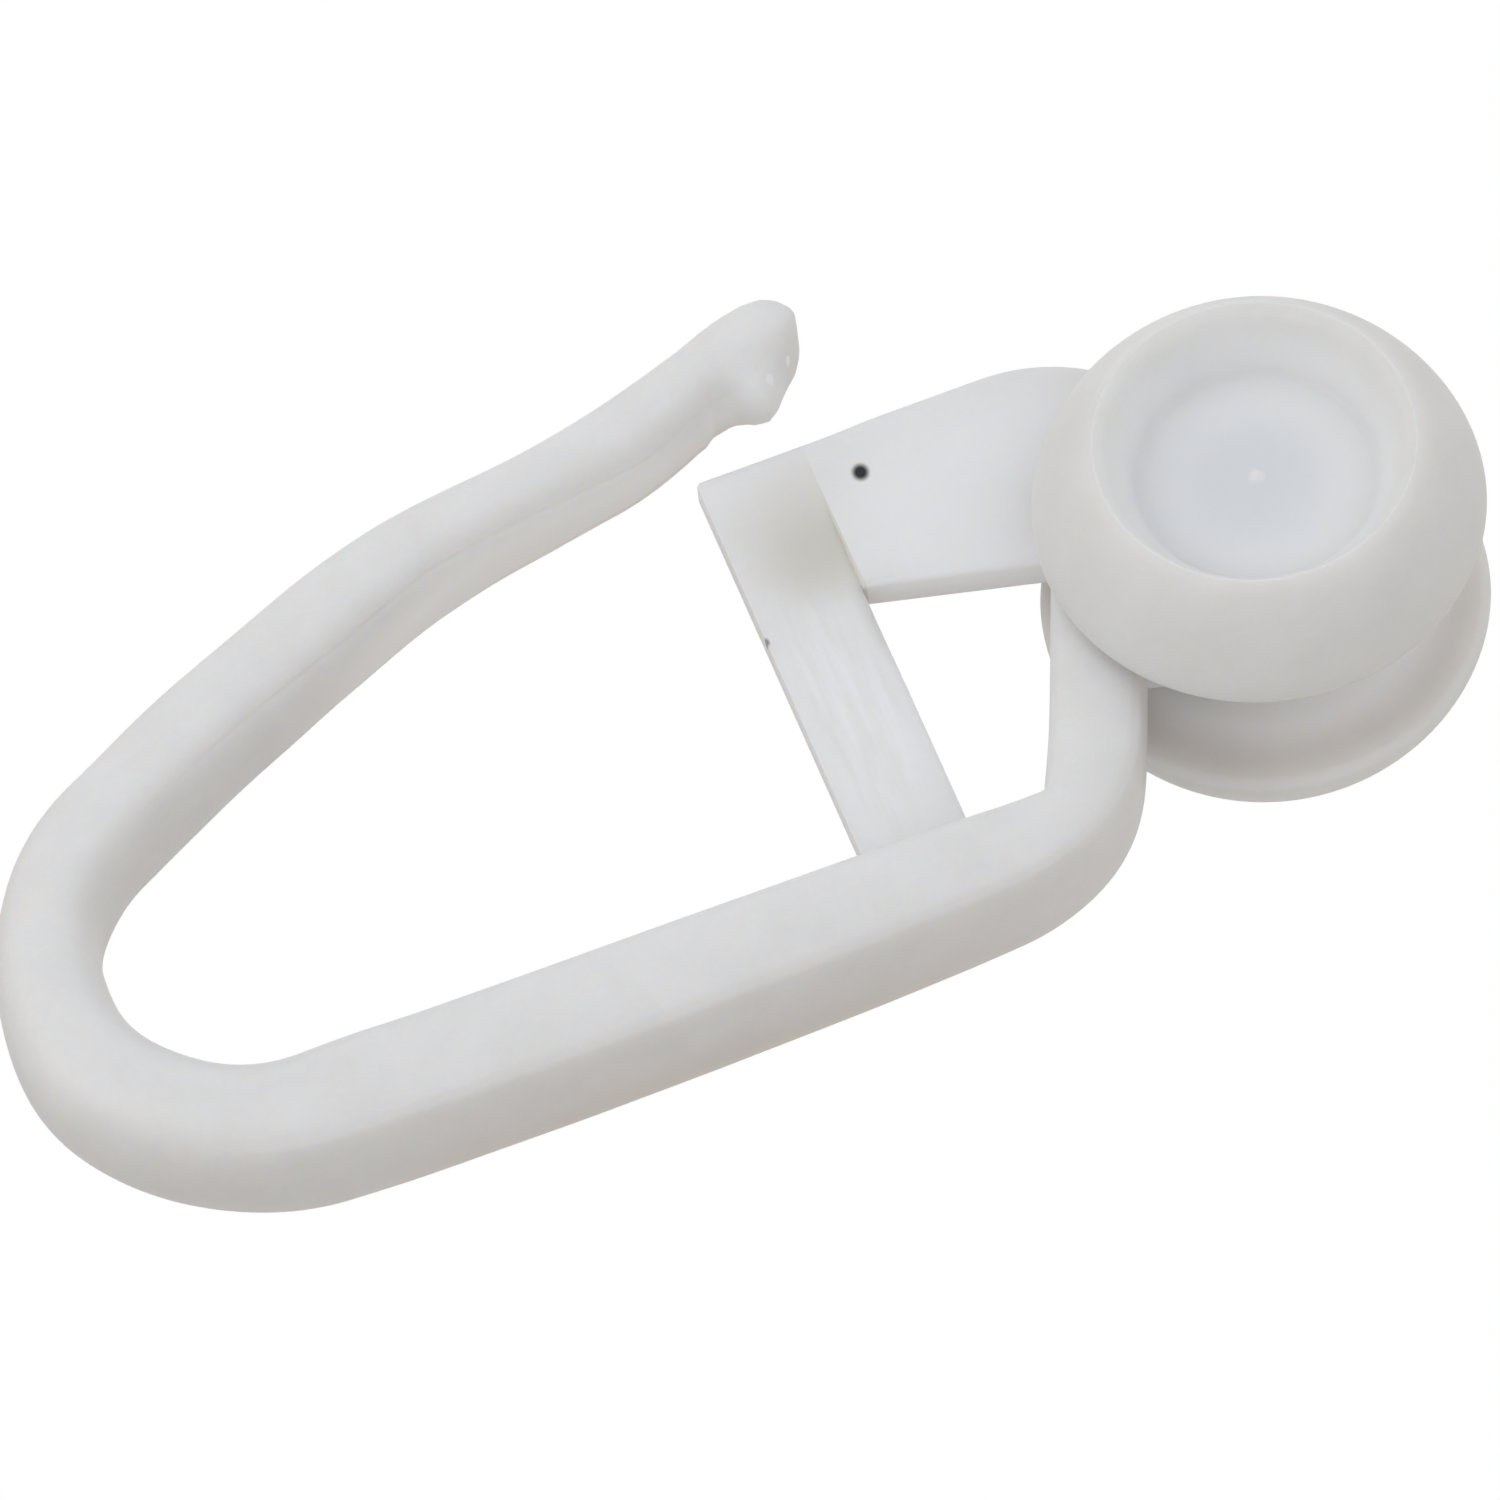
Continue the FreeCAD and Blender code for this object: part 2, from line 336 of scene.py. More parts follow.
def unit_section(crown, outer_swell, inner_swell, edge_power, quarter=44):
    """Closed outline in -1..1: face |y| + crown d^2 and side |d| + swell y^2, joined by a power mean."""
    spread = np.linspace(-1, 1, quarter, endpoint=False) + 1 / quarter
    first = math.pi / 4 * (1 + np.sign(spread) * np.abs(spread) ** edge_crowding)
    angle = np.concatenate([first + k * math.pi / 2 for k in range(4)])
    swell = np.where(np.cos(angle) > 0, inner_swell, outer_swell)
    low, high = (np.full(angle.size, bound) for bound in section_bounds)
    for _ in range(halvings):
        radius = (low + high) / 2
        d, y = np.abs(radius * np.cos(angle)), np.abs(radius * np.sin(angle))
        level = ((y + crown * d**2) ** edge_power + (d + swell * y**2) ** edge_power) ** (1 / edge_power)
        low, high = np.where(level < 1, radius, low), np.where(level < 1, high, radius)
    return np.column_stack([radius * np.cos(angle), radius * np.sin(angle)])


arm_swell = 0.12
side_swell = 0.16
barb_swell = 0.55
barb_ridge = 0.50
barb_start = (54.7, 56.0)
edges_melt = (23.5, 28.5)
arm_section = unit_section(crown=0.17, outer_swell=arm_swell, inner_swell=arm_swell, edge_power=18)
prong_section = unit_section(crown=0.12, outer_swell=side_swell, inner_swell=side_swell, edge_power=4.5)
barb_section = unit_section(crown=0.14, outer_swell=side_swell, inner_swell=barb_swell, edge_power=4.5)
melted = ramp(along, *edges_melt)[:, None, None]
swollen = (1 - barb_ridge / inner_width - side_swell) / (barb_swell - side_swell)
swollen = (np.clip(swollen, 0, 1) * ramp(along, *barb_start))[:, None, None]
bar_section = (1 - melted) * arm_section + melted * prong_section
bar_section = (1 - swollen) * bar_section + swollen * barb_section
print("sections of", len(arm_section), "points, barb share up to", round(float(swollen.max()), 2))

# %% [markdown]
# ## The parting line
# Where the two halves of the mould meet they leave a fine line. On the arm it runs just under the edge,
# and along the prong it wanders to the middle of the side. A narrow Gaussian draws the side in a little,
# at a height of its own in every ring. Then the sections are carried along the middle line.

# %% Bar with its parting line
# Place along the middle line, height on the side, depth
line_stations = np.array([
    (0.0, 0.86, 0.040),
    (26.0, 0.86, 0.040),
    (28.5, 0.82, 0.000),
    (38.5, 0.78, 0.000),
    (40.5, 0.76, 0.035),
    (42.5, 0.73, 0.045),
    (45.0, 0.66, 0.050),
    (47.5, 0.69, 0.050),
    (50.0, 0.60, 0.050),
    (52.0, 0.51, 0.050),
    (53.5, 0.44, 0.050),
    (54.5, 0.53, 0.045),
    (55.5, 0.42, 0.045),
    (56.3, 0.74, 0.035),
    (57.3, 0.80, 0.020),
])
line_width = 0.045
side_share = 0.5


def with_parting_line(section):
    """Side points drawn in by a share of their reach: depth times exp(-((|y| - height) / width)^2)."""
    height = np.interp(along, line_stations[:, 0], line_stations[:, 1])[:, None]
    depth = np.interp(along, line_stations[:, 0], line_stations[:, 2])[:, None]
    d, y = section[..., 0], section[..., 1]
    cut = depth * np.exp(-(((np.abs(y) - height) / line_width) ** 2))
    return np.stack([d * np.where(np.abs(d) > side_share, 1 - cut, 1), y], axis=-1)


def carry(section, path, outer, inner, half_thickness):
    """Ring i, point j: path_i + side_i w_ij in the plane, y = half_thickness_i section_y_ij, where the
    side is the heading turned towards the hook's inside and w is inner or outer width times section_d."""
    heading = np.gradient(path, axis=0)
    heading /= np.linalg.norm(heading, axis=1)[:, None]
    side = np.column_stack([heading[:, 1], -heading[:, 0]])
    d, y = section[..., 0], section[..., 1]
    reach = np.where(d > 0, inner[:, None], outer[:, None]) * d
    plane = path[:, None, :] + side[:, None, :] * reach[..., None]
    return np.stack([plane[..., 0], half_thickness[:, None] * y, plane[..., 1]], axis=-1)


bar_section = with_parting_line(bar_section)
bar = mesh_object("bar", carry(bar_section, middle_line, outer_width, inner_width, thickness))

# %% [markdown]
# ## The web plate
# The web is a thin flat plate between the rollers. Its outline is two circles, one round the axles and
# one at the shoulder, joined by their common tangent, and straight edges beside the eyelet. Over the
# stem its edge leans in, so that no plate shows beside the front roller. The plate is a grid too: columns
# go round the outline, and rows go from the middle of the front face out to the edge, round it, and back
# to the middle of the rear face. Towards the strip its step melts away at the outer corner.

# %% Plate as rings drawn in from its outline
web_reach = 6.47
web_foot_z = -8.7
web_eye_radius = 3.0
neck_lean = 15.0
shoulder_radius = 4.2
shoulder_z = -4.3
eyelet_foot_x = -2.4
eyelet_head = (-1.25, -4.4)
web_half_thickness = 0.45
web_edge_round = 0.10
web_middle = (-2.0, -3.0)
inmost_share = 0.03
foot_fade_x = (3.9, 5.2)
foot_fade_z = (6.6, 8.4)
foot_step_left = 0.012
strip_half_thickness = 0.35


def web_outline(step=0.12):
    """Anticlockwise outline: foot, eyelet edge, stem, then the two arcs and the straight outer edge."""
    shoulder_x = shoulder_radius - web_reach
    span = math.hypot(shoulder_x, shoulder_z)
    lean = math.atan2(-shoulder_z, -shoulder_x)
    tangent = math.degrees(lean + math.acos((shoulder_radius - web_eye_radius) / span))
    lean_in = math.radians(neck_lean)
    neck_top = web_eye_radius * np.array([math.cos(lean_in), -math.sin(lean_in)])
    neck_run = (stem_distance + web_eye_radius * math.sin(slope - lean_in)) / math.cos(slope - lean_in)
    stem_point = neck_top - neck_run * np.array([math.sin(lean_in), math.cos(lean_in)])
    start = (-web_reach, web_foot_z)
    foot = (eyelet_foot_x, web_foot_z)
    outline = [
        straight(start, foot),
        straight(foot, eyelet_head),
        straight(eyelet_head, stem_point),
        straight(stem_point, neck_top),
        round_run((0, 0), web_eye_radius, -neck_lean, tangent),
        round_run((shoulder_x, shoulder_z), shoulder_radius, tangent, 180),
        straight((-web_reach, shoulder_z), start),
    ]
    return even_steps(np.concatenate(outline), step)[:-1]


def fading_foot(x, z):
    """How far the plate's step towards the strip has melted away: all of it at the outer corner."""
    return ramp(-x, *foot_fade_x) * ramp(-z, *foot_fade_z)


def web_grid(rows=22, edge_rows=6):
    """Rows share the way from the middle to the inset outline; edge rows turn a quarter circle."""
    outline = web_outline()
    ahead = np.roll(outline, -1, axis=0) - np.roll(outline, 1, axis=0)
    outward = np.column_stack([ahead[:, 1], -ahead[:, 0]]) / np.linalg.norm(ahead, axis=1)[:, None]
    inset = outline - outward * web_edge_round
    share = np.linspace(inmost_share, 1, rows)[:, None, None]
    face = np.array(web_middle) + share * (inset - np.array(web_middle))
    turn = np.linspace(0, math.pi / 2, edge_rows)[1:, None, None]
    edge = inset + outward * web_edge_round * np.sin(turn)
    plane = np.concatenate([face, edge])
    drop = np.concatenate([np.zeros(rows), web_edge_round * (1 - np.cos(turn[:, 0, 0]))])
    foot_step = web_half_thickness - strip_half_thickness - foot_step_left
    gone = foot_step * fading_foot(plane[..., 0], plane[..., 1])
    height = web_half_thickness - drop[:, None] - gone
    front = np.stack([plane[..., 0], -height, plane[..., 1]], axis=-1)
    rear = front[::-1] * np.array([1, -1, 1])
    return np.concatenate([front, rear])


web = mesh_object("web", web_grid())

# %% [markdown]
# ## The brace strip
# A thinner strip ties the foot of the web to the arm, and closes the eyelet. It is a flat bar carried
# along a straight line. Thin flat mouldings are never quite flat: near the web the strip has sunk
# where the plastic cooled last, and its eyelet edge is rolled down beside the corner.

# %% Strip with its sink mark
strip_low_z = -11.2
strip_half_width = 1.25
strip_overlap = 0.3
strip_end_x = -6.48
strip_end_round = 0.08
strip_step = 0.12
overlap_gap = 0.1
sink_centre = (-3.75, -9.45)
sink_reach = (1.5, 1.0)
sink_depth = 0.09
rolled_depth = 0.08
rolled_from_z = -9.1
rolled_run = 0.4
rolled_centre_x = -1.3
rolled_reach = 1.0


def strip_relief(x, z):
    """Lowered surface: a round sink by a Gaussian, and an edge that falls off beside the eyelet corner."""
    sink_x = (x - sink_centre[0]) / sink_reach[0]
    sink_z = (z - sink_centre[1]) / sink_reach[1]
    sink = sink_depth * np.exp(-(sink_x**2) - sink_z**2)
    near_edge = np.clip((z - rolled_from_z) / rolled_run, 0, 1)
    beside = np.exp(-(((x - rolled_centre_x) / rolled_reach) ** 2))
    return sink + rolled_depth * near_edge**2 * beside


def strip_grid():
    """A flat section along a level line, tucked in round its free end and widened where it enters the web."""
    middle_z = strip_low_z + strip_half_width
    line = even_steps(straight((strip_end_x, middle_z), (arm_x, middle_z)), strip_step)
    from_end = np.clip(strip_end_round - (line[:, 0] - strip_end_x), 0, None)
    tuck = strip_end_round - np.sqrt(strip_end_round**2 - from_end**2)
    into_web = strip_overlap * np.clip((eyelet_foot_x - overlap_gap - line[:, 0]) / strip_overlap, 0, 1)
    section = unit_section(crown=0.0, outer_swell=0.0, inner_swell=0.0, edge_power=40, quarter=16)
    full = np.full(len(line), strip_half_width)
    flat = np.full(len(line), strip_half_thickness)
    grid = carry(section, line, full + into_web - tuck, full - tuck, flat - tuck)
    lowered = strip_relief(grid[..., 0], grid[..., 2])
    grid[..., 1] -= np.sign(grid[..., 1]) * np.minimum(lowered, np.abs(grid[..., 1]))
    return grid


strip = mesh_object("strip", strip_grid())

# %% [markdown]
# ## Turned forms
# Rollers and stub axles are turned forms: a profile of radius and height, swung round the axis. The
# stub axles go right through the web as one spindle with a push-fit bead near each end.

# %% Swing a profile round the axis
axle_radius = 1.3
axle_end = 2.5
axle_chamfer = 0.1
axle_bead = 0.15
bead_rows = (1.75, 2.25)


def swing(profile, side, columns=240):
    """Row i, column j: (r_i cos a_j, side h_i, r_i sin a_j) with a_j round the full circle."""
    angle = np.linspace(0, 2 * math.pi, columns, endpoint=False)
    radius, height = profile[:, :1], profile[:, 1:]
    around = [radius * np.cos(angle), side * height * np.ones(columns), radius * np.sin(angle)]
    return np.stack(around, axis=-1)


def axle_profile():
    """Half a spindle: a bead between two slopes, then a chamfered end. Its mirror image is the other half."""
    half = np.array([
        (axle_radius, bead_rows[0]),
        (axle_radius + axle_bead, bead_rows[0] + axle_bead),
        (axle_radius + axle_bead, bead_rows[1] - axle_bead),
        (axle_radius, bead_rows[1]),
        (axle_radius, axle_end - axle_chamfer),
        (axle_radius - axle_chamfer, axle_end),
    ])
    return np.concatenate([half[::-1] * np.array([1, -1]), half])


axles = mesh_object("axles", swing(axle_profile(), side=1, columns=96))

# %% [markdown]
# ## One moulding
# Bar, web, strip and axles are one piece of plastic, so their closed surfaces are joined by a union.
# Where they meet, the crease stays sharp: edges that turn by more than a set angle are marked, and all
# other faces shade smoothly.

# %% Join the hook and mark its creases
crease_angle = math.radians(34)


def joined(name, first, others):
    """A new object whose mesh is the union of closed meshes; the meshes it was made from are removed."""
    for other in others:
        union = first.modifiers.new("union", "BOOLEAN")
        union.operation = "UNION"
        union.solver = "MANIFOLD"
        union.object = other
    shape = first.evaluated_get(bpy.context.evaluated_depsgraph_get())
    mesh = bpy.data.meshes.new_from_object(shape)
    mesh.name = name
    for used in [first] + others:
        bpy.data.objects.remove(used)
    piece = bpy.data.objects.new(name, mesh)
    bpy.context.scene.collection.objects.link(piece)
    mesh.polygons.foreach_set("use_smooth", np.ones(len(mesh.polygons), dtype=bool))
    mesh.set_sharp_from_angle(angle=crease_angle)
    return piece


hook = joined("hook_moulding", bar, [web, strip, axles])
print("hook", len(hook.data.vertices), "points", len(hook.data.polygons), "faces")

# %% [markdown]
# ## The rollers
# A roller's tread is a crown that leaves the rim along the axis and curves in to a raised lip. Inside
# the lip lies a dish with a sloping wall and a flat floor, where a tiny nub shows the moulding gate.
# The other face has a hub with a blind bore, which is grooved to clear the axle's bead. The whole
# profile is one line from the nub round to the bore's end, with its outer corners rounded.

# %% Roller profile and both rollers
roller_low, roller_high = (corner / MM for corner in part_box("front_roller"))
roller_radius = roller_high.x
outer_height = -roller_low.y
hub_height = -roller_high.y
inner_height = 1.8
rim_round = 0.24
tread_power = 1.6
lip_outer = 3.86
lip_width = 0.50
lip_bead = 0.34
lip_ridge = 0.10
dish_depth = 1.6
dish_floor_radius = 2.7
floor_round = 0.3
nub_radius = 0.28
nub_height = 0.16
nub_pole = 0.03
hub_radius = 2.3
bore_radius = 1.37
bore_end = 2.56
bore_pole = 0.05
groove_depth = 0.15
groove_rows = (1.72, 2.28)


def tread():
    """From the lip's outer foot to the rim: the radius is the rim's less a power of the height above it."""
    share = np.linspace(1, 0, 36)
    foot = inner_height + rim_round
    height = foot + share * (outer_height - lip_bead - foot)
    return np.column_stack([roller_radius - (roller_radius - lip_outer) * share**tread_power, height])


def lip():
    """A gable with a rounded ridge: the height falls from the ridge by a hyperbola to both feet."""
    share = np.linspace(-1, 1, 21)
    fall = np.sqrt(share**2 + lip_ridge**2) - lip_ridge
    fall = fall / (math.sqrt(1 + lip_ridge**2) - lip_ridge)
    return np.column_stack([lip_outer + lip_width / 2 * (share - 1), outer_height - lip_bead * fall])


def bore_wall():
    """From the hub's face to the bore's end, with a groove that clears the axle's bead."""
    return np.array([
        (bore_radius, hub_height),
        (bore_radius, groove_rows[0]),
        (bore_radius + groove_depth, groove_rows[0] + groove_depth),
        (bore_radius + groove_depth, groove_rows[1] - groove_depth),
        (bore_radius, groove_rows[1]),
        (bore_radius, bore_end),
    ])


def roller_profile():
    """Radius and height from the nub over floor, wall, lip, tread, rim and hub to the end of the bore."""
    floor = outer_height - dish_depth
    mouth = (lip_outer - lip_width, outer_height - lip_bead)
    wall = math.atan2(mouth[1] - floor, mouth[0] - dish_floor_radius)
    setback = floor_round * math.tan(wall / 2)
    bottom = (dish_floor_radius - setback, floor + floor_round)
    wall_foot = (dish_floor_radius + setback * math.cos(wall), floor + setback * math.sin(wall))
    nub = np.linspace(nub_pole, nub_radius, 8)
    dome = floor + nub_height * np.cos(nub / nub_radius * math.pi / 2) ** 2
    runs = [
        np.column_stack([nub, dome]),
        straight((nub_radius, floor), (bottom[0], floor), 14)[1:],
        round_run(bottom, floor_round, -90, -90 + math.degrees(wall), 8)[1:],
        straight(wall_foot, mouth, 14)[1:-1],
        lip(),
        tread()[1:],
        round_run((roller_radius - rim_round, inner_height + rim_round), rim_round, 0, -90, 9)[1:],
        straight((roller_radius - rim_round, inner_height), (hub_radius, inner_height), 12)[1:],
        straight((hub_radius, inner_height), (hub_radius, hub_height), 6)[1:],
        straight((hub_radius, hub_height), (bore_radius, hub_height), 5)[1:],
        bore_wall()[1:],
        straight((bore_radius, bore_end), (bore_pole, bore_end), 6)[1:],
    ]
    return np.concatenate(runs)


front_roller = mesh_object("front_roller_moulding", swing(roller_profile(), side=-1))
rear_roller = mesh_object("rear_roller_moulding", swing(roller_profile(), side=1))
for roller in (front_roller, rear_roller):
    roller.data.set_sharp_from_angle(angle=crease_angle)

# %% [markdown]
# ## Finishes in common
# Both plastics share two effects, so each is a node group that is built once and placed where it is
# needed. Two helpers keep the building of node trees short: one makes an empty group with its sockets,
# and one adds a node and sets the constants on its own sockets.


# %% Helpers for node trees
def new_group(name, inputs, outputs):
    """An empty shader group with named sockets, and its input and output nodes."""
    group = bpy.data.node_groups.new(name, "ShaderNodeTree")
    for label, kind, value in inputs:
        socket = group.interface.new_socket(label, in_out="INPUT", socket_type="NodeSocket" + kind)
        if value is not None:
            socket.default_value = value
    for label, kind in outputs:
        group.interface.new_socket(label, in_out="OUTPUT", socket_type="NodeSocket" + kind)
    return group, group.nodes.new("NodeGroupInput"), group.nodes.new("NodeGroupOutput")


def add_node(tree, kind, values=(), **settings):
    """A node with its settings, and constants on its own input sockets."""
    node = tree.nodes.new(kind)
    for name, value in settings.items():
        setattr(node, name, value)
    for socket, value in dict(values).items():
        node.inputs[socket].default_value = value
    return node


# %% [markdown]
# ## Moulded grain
# A mould's satin surface is never quite even, and natural plastic is slightly cloudy. The grain is a
# very fine noise that gives height to a bump, and a slower one that gives a light mottling to the colour.


# %% Grain group
def grain_group():
    """Height: fine noise. Mottle: slow noise stretched to 0..1."""
    inputs = [("Coordinate", "Vector", None)]
    inputs += [("Grain Scale", "Float", 9000.0), ("Mottle Scale", "Float", 700.0)]
    group, given, result = new_group("moulded_grain", inputs, [("Height", "Float"), ("Mottle", "Float")])
    fine = add_node(group, "ShaderNodeTexNoise", {"Detail": 2.0, "Roughness": 0.6})
    slow = add_node(group, "ShaderNodeTexNoise", {"Detail": 3.0, "Roughness": 0.55})
    stretch = add_node(group, "ShaderNodeMapRange", {"From Min": 0.3, "From Max": 0.7})
    for noise, scale in ((fine, "Grain Scale"), (slow, "Mottle Scale")):
        group.links.new(given.outputs["Coordinate"], noise.inputs["Vector"])
        group.links.new(given.outputs[scale], noise.inputs["Scale"])
    group.links.new(slow.outputs["Fac"], stretch.inputs["Value"])
    group.links.new(fine.outputs["Fac"], result.inputs["Height"])
    group.links.new(stretch.outputs["Result"], result.inputs["Mottle"])
    return group


grain = grain_group()
print("group", grain.name, len(grain.nodes), "nodes")

# %% [markdown]
# ## Soft spots
# The spot is a soft mask round a place on the piece: it makes a speck of dirt, a patch of painted shade or
# painted light, or a painted glint. A plain ellipsoid is enough, because the plastic's own shapes end it. A
# limit in height keeps a mark on the strip from creeping up on the plate.


# %% Spot group
def spot_group():
    """Mask: 1 inside an ellipsoid of given half-sizes, fading to 0 over its softness, and 0 above Top."""
    inputs = [("Coordinate", "Vector", None), ("Centre", "Vector", None), ("Half Size", "Vector", None)]
    inputs += [("Softness", "Float", 0.5), ("Top", "Float", 1.0)]
    group, given, result = new_group("soft_spot", inputs, [("Mask", "Float")])
    parts = add_node(group, "ShaderNodeSeparateXYZ")
    under = add_node(group, "ShaderNodeMath", operation="LESS_THAN")
    cut = add_node(group, "ShaderNodeMath", operation="MULTIPLY")
    offset = add_node(group, "ShaderNodeVectorMath", operation="SUBTRACT")
    scaled = add_node(group, "ShaderNodeVectorMath", operation="DIVIDE")
    far = add_node(group, "ShaderNodeVectorMath", operation="LENGTH")
    inside = add_node(group, "ShaderNodeMath", {0: 1.0}, operation="SUBTRACT")
    fade = add_node(group, "ShaderNodeMapRange", interpolation_type="SMOOTHSTEP")
    group.links.new(given.outputs["Coordinate"], offset.inputs[0])
    group.links.new(given.outputs["Centre"], offset.inputs[1])
    group.links.new(offset.outputs["Vector"], scaled.inputs[0])
    group.links.new(given.outputs["Half Size"], scaled.inputs[1])
    group.links.new(scaled.outputs["Vector"], far.inputs[0])
    group.links.new(far.outputs["Value"], inside.inputs[1])
    group.links.new(inside.outputs["Value"], fade.inputs["Value"])
    group.links.new(given.outputs["Softness"], fade.inputs["From Max"])
    group.links.new(given.outputs["Coordinate"], parts.inputs["Vector"])
    group.links.new(parts.outputs["Z"], under.inputs[0])
    group.links.new(given.outputs["Top"], under.inputs[1])
    group.links.new(fade.outputs["Result"], cut.inputs[0])
    group.links.new(under.outputs["Value"], cut.inputs[1])
    group.links.new(cut.outputs["Value"], result.inputs["Mask"])
    return group


spot = spot_group()
print("group", spot.name, len(spot.nodes), "nodes")

# %% [markdown]
# ## Milky plastic
# Natural white plastic is satin, and light goes a little way into it before it comes out again, which
# softens every shadow. Subsurface scattering with a reach of one or two millimetres does that. The base
# colour is close to what the eye sees in soft light. The mottling moves it by a few hundredths.

# %% Plastic with grain and mottling
satin_roughness = 0.48
plastic_ior = 1.47
speckle_gain = 0.9
speckle_shift = -0.45


def plastic(name, light, dark, grain_depth, glow, reach, spread):
    """A satin plastic: its colour is mottled between two tones, and the fine noise gives the bump."""
    material = bpy.data.materials.new(name)
    material.use_nodes = True
    tree = material.node_tree
    shader = tree.nodes["Principled BSDF"]
    shader.inputs["Roughness"].default_value = satin_roughness
    shader.inputs["IOR"].default_value = plastic_ior
    shader.inputs["Subsurface Weight"].default_value = glow
    shader.inputs["Subsurface Radius"].default_value = spread
    shader.inputs["Subsurface Scale"].default_value = reach
    place = tree.nodes.new("ShaderNodeTexCoord")
    surface = add_node(tree, "ShaderNodeGroup", node_tree=grain)
    speckle = add_node(tree, "ShaderNodeMath", {1: speckle_gain, 2: speckle_shift}, operation="MULTIPLY_ADD")
    both = add_node(tree, "ShaderNodeMath", operation="ADD", use_clamp=True)
    tint = add_node(tree, "ShaderNodeMix", {6: dark, 7: light}, data_type="RGBA")
    bump = add_node(tree, "ShaderNodeBump", {"Strength": 1.0, "Distance": grain_depth})
    tree.links.new(place.outputs["Object"], surface.inputs["Coordinate"])
    tree.links.new(surface.outputs["Height"], speckle.inputs[0])
    tree.links.new(speckle.outputs["Value"], both.inputs[0])
    tree.links.new(surface.outputs["Mottle"], both.inputs[1])
    tree.links.new(both.outputs["Value"], tint.inputs["Factor"])
    tree.links.new(surface.outputs["Height"], bump.inputs["Height"])
    tree.links.new(bump.outputs["Normal"], shader.inputs["Normal"])
    tree.links.new(tint.outputs[2], shader.inputs["Base Color"])
    return material


hook_plastic = plastic(
    "milky_hook",
    light=(0.80, 0.805, 0.815, 1),
    dark=(0.765, 0.77, 0.775, 1),
    grain_depth=0.004 * MM,
    glow=0.75,
    reach=1.8 * MM,
    spread=(1.0, 0.84, 0.62),
)
roller_plastic = plastic(
    "milky_roller",
    light=(0.785, 0.79, 0.79, 1),
    dark=(0.755, 0.76, 0.755, 1),
    grain_depth=0.004 * MM,
    glow=0.95,
    reach=1.5 * MM,
    spread=(1.0, 0.9, 0.78),
)
print("plastics", hook_plastic.name, roller_plastic.name)

# %% [markdown]
# ## Marks
# Where the real plastic is thin, light comes through from behind and it looks lighter. A longer reach of
# the scattering darkened the rollers' dish, so soft spots of a lighter base colour stand in for that
# light, and greyer or warmer spots for some of the shade. Each mark is mixed over what the base colour
# was so far, so a later mark covers an earlier one. Streaks are a noise drawn out along the flow of the
# plastic.

# %% Lay marks and streaks over the base colour
no_top = 1000.0
streak_stretch = (0.1, 1, 1)
streak_scale = 4200.0
streak_softness = 0.6


def soft_mask(material, centre, half_size, softness, top):
    """The soft spot's mask on the piece's own coordinates, with places and sizes in millimetres."""
    tree = material.node_tree
    mask = add_node(tree, "ShaderNodeGroup", {"Softness": softness, "Top": top * MM}, node_tree=spot)
    mask.inputs["Centre"].default_value = Vector(centre) * MM
    mask.inputs["Half Size"].default_value = Vector(half_size) * MM
    tree.links.new(tree.nodes["Texture Coordinate"].outputs["Object"], mask.inputs["Coordinate"])
    return mask.outputs["Mask"]


def lay_over(material, mask, colour, strength):
    """Mixes a colour over what the base colour was so far, by the mask times the strength."""
    tree = material.node_tree
    base = tree.nodes["Principled BSDF"].inputs["Base Color"]
    weaken = add_node(tree, "ShaderNodeMath", {1: strength}, operation="MULTIPLY")
    over = add_node(tree, "ShaderNodeMix", {7: colour}, data_type="RGBA")
    below = base.links[0].from_socket
    tree.links.new(mask, weaken.inputs[0])
    tree.links.new(weaken.outputs["Value"], over.inputs["Factor"])
    tree.links.new(below, over.inputs[6])
    tree.links.new(over.outputs[2], base)


def add_mark(material, centre, half_size, softness, colour, strength, top=no_top):
    """A soft spot of another colour, below the height top."""
    lay_over(material, soft_mask(material, centre, half_size, softness, top), colour, strength)


def add_streaks(material, centre, half_size, colour, strength):
    """Long faint streaks inside a soft spot: a noise drawn out tenfold along x."""
    tree = material.node_tree
    drawn = add_node(tree, "ShaderNodeMapping", {"Scale": streak_stretch})
    flow = add_node(tree, "ShaderNodeGroup", {"Mottle Scale": streak_scale}, node_tree=grain)
    within = add_node(tree, "ShaderNodeMath", operation="MULTIPLY")
    mask = soft_mask(material, centre, half_size, streak_softness, no_top)
    tree.links.new(tree.nodes["Texture Coordinate"].outputs["Object"], drawn.inputs["Vector"])
    tree.links.new(drawn.outputs["Vector"], flow.inputs["Coordinate"])
    tree.links.new(flow.outputs["Mottle"], within.inputs[0])
    tree.links.new(mask, within.inputs[1])
    lay_over(material, within.outputs["Value"], colour, strength)
